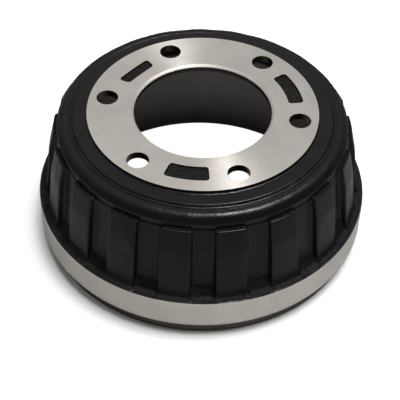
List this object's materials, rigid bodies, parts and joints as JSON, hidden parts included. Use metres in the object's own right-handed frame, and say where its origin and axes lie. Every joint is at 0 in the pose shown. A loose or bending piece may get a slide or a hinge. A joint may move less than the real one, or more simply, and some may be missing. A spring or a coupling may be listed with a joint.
{
  "type": "brake drum",
  "caption": "Cast-iron brake drum: an open cylinder closed by a machined bolting flange with a pilot bore, with raised ribs round its barrel and a machined rim.",
  "frame": {"origin": "centre of the open rim's face, on the drum's axis; the drum stands on this face", "axes": "+Z along the drum's axis, out of the bolting face; +X through one bolt hole"},
  "size_m": [0.358, 0.3578, 0.1555],
  "materials": {
    "cast_iron": "satin black primer on sand-cast grey iron, with the bolting face, pilot bore, rim band and friction surface machined bare"
  },
  "bodies": {
    "root": {"brake_drum": "cast_iron"}
  },
  "joints": []
}
